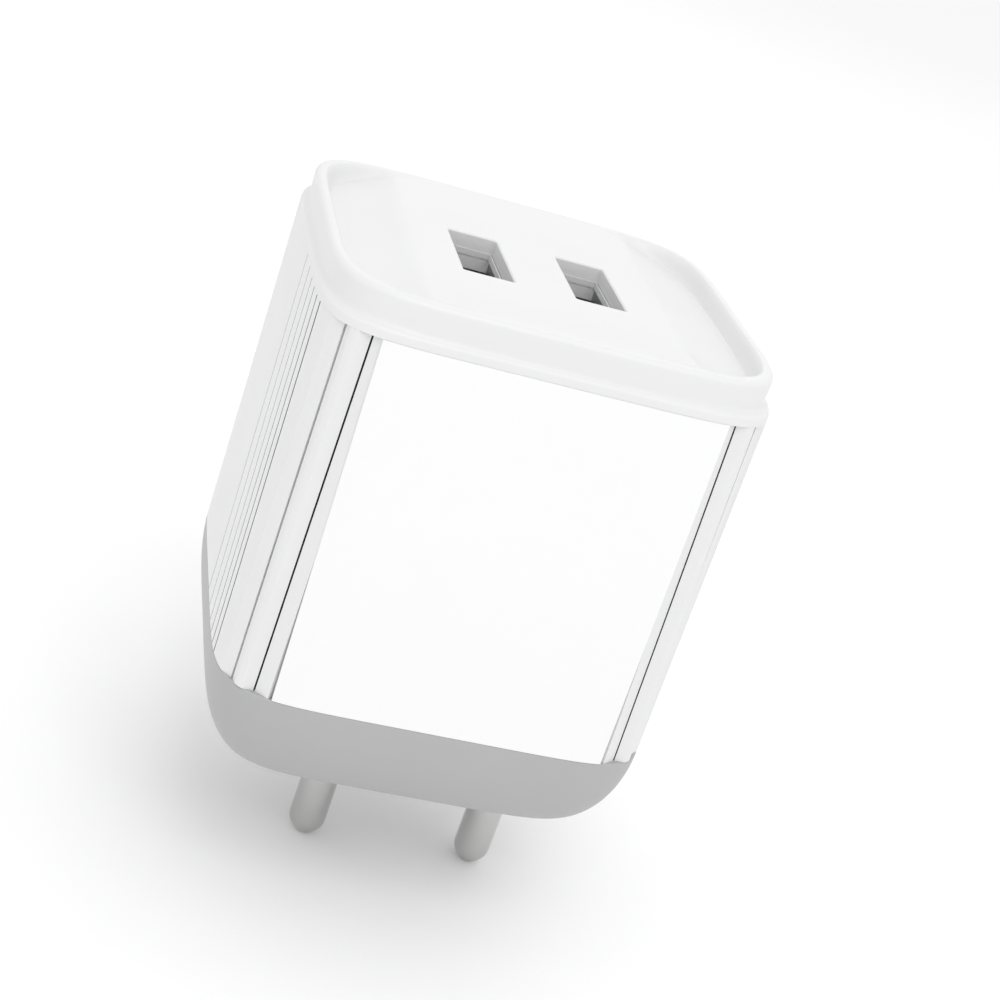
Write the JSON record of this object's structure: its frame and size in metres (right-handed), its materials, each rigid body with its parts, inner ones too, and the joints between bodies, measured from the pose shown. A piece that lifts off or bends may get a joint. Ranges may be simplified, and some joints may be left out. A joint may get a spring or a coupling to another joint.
{
  "type": "usb wall charger",
  "caption": "Upright white mains charger: ribbed rounded-square housing on a tapered grey base with round plug pins, and a rimmed top face with USB-A ports.",
  "frame": {"origin": "centre of the flat wall face under the grey base, on the housing's middle axis", "axes": "+Z from the pins to the USB face, -Y the front panel, +X to the right seen from the front"},
  "size_m": [0.0452, 0.0452, 0.0674],
  "materials": {
    "housing_white": "fine satin gloss, white ABS",
    "panel_white": "smooth satin, brighter white",
    "base_grey": "satin light grey",
    "pin_nickel": "nickel plated, fine turned finish",
    "carrier_dark": "dark heat-resistant plastic",
    "brass": "stamped brass",
    "board_green": "solder mask on glass-epoxy laminate",
    "shell_steel": "bright tinned steel",
    "socket_black": "dark moulded socket plastic",
    "contact_gold": "gold-flashed contact",
    "ferrite": "sintered ferrite",
    "bobbin_black": "black bobbin plastic",
    "winding_tape": "yellow polyester tape over copper wire",
    "can_sleeve": "shrink sleeve on aluminium can",
    "disc_blue": "epoxy-dipped ceramic",
    "resistor_green": "lacquered resistor body",
    "chip_black": "moulded epoxy package",
    "sheet_clear": "polyester insulating sheet"
  },
  "bodies": {
    "root": {"base_cup": "base_grey", "sleeve": "housing_white", "front_panel": "panel_white", "back_panel": "panel_white", "face_cap": "housing_white", "pin_carrier": "carrier_dark", "pin_left": "pin_nickel", "pin_right": "pin_nickel", "contact_strip_left": "brass", "contact_strip_right": "brass", "main_board": "board_green", "usb_board": "board_green", "link_pins": "contact_gold", "usb_shell_left": "shell_steel", "usb_shell_right": "shell_steel", "usb_tongue_left": "socket_black", "usb_tongue_right": "socket_black", "usb_contacts_left": "contact_gold", "usb_contacts_right": "contact_gold", "transformer_core": "ferrite", "transformer_bobbin": "bobbin_black", "transformer_winding": "winding_tape", "input_capacitors": "can_sleeve", "output_capacitors": "can_sleeve", "safety_capacitor": "disc_blue", "input_choke": "ferrite", "fuse_resistor": "resistor_green", "bridge_rectifier": "chip_black", "switching_chip": "chip_black", "output_diode": "chip_black", "usb_chip": "chip_black", "insulation_sheet": "sheet_clear"}
  },
  "joints": []
}
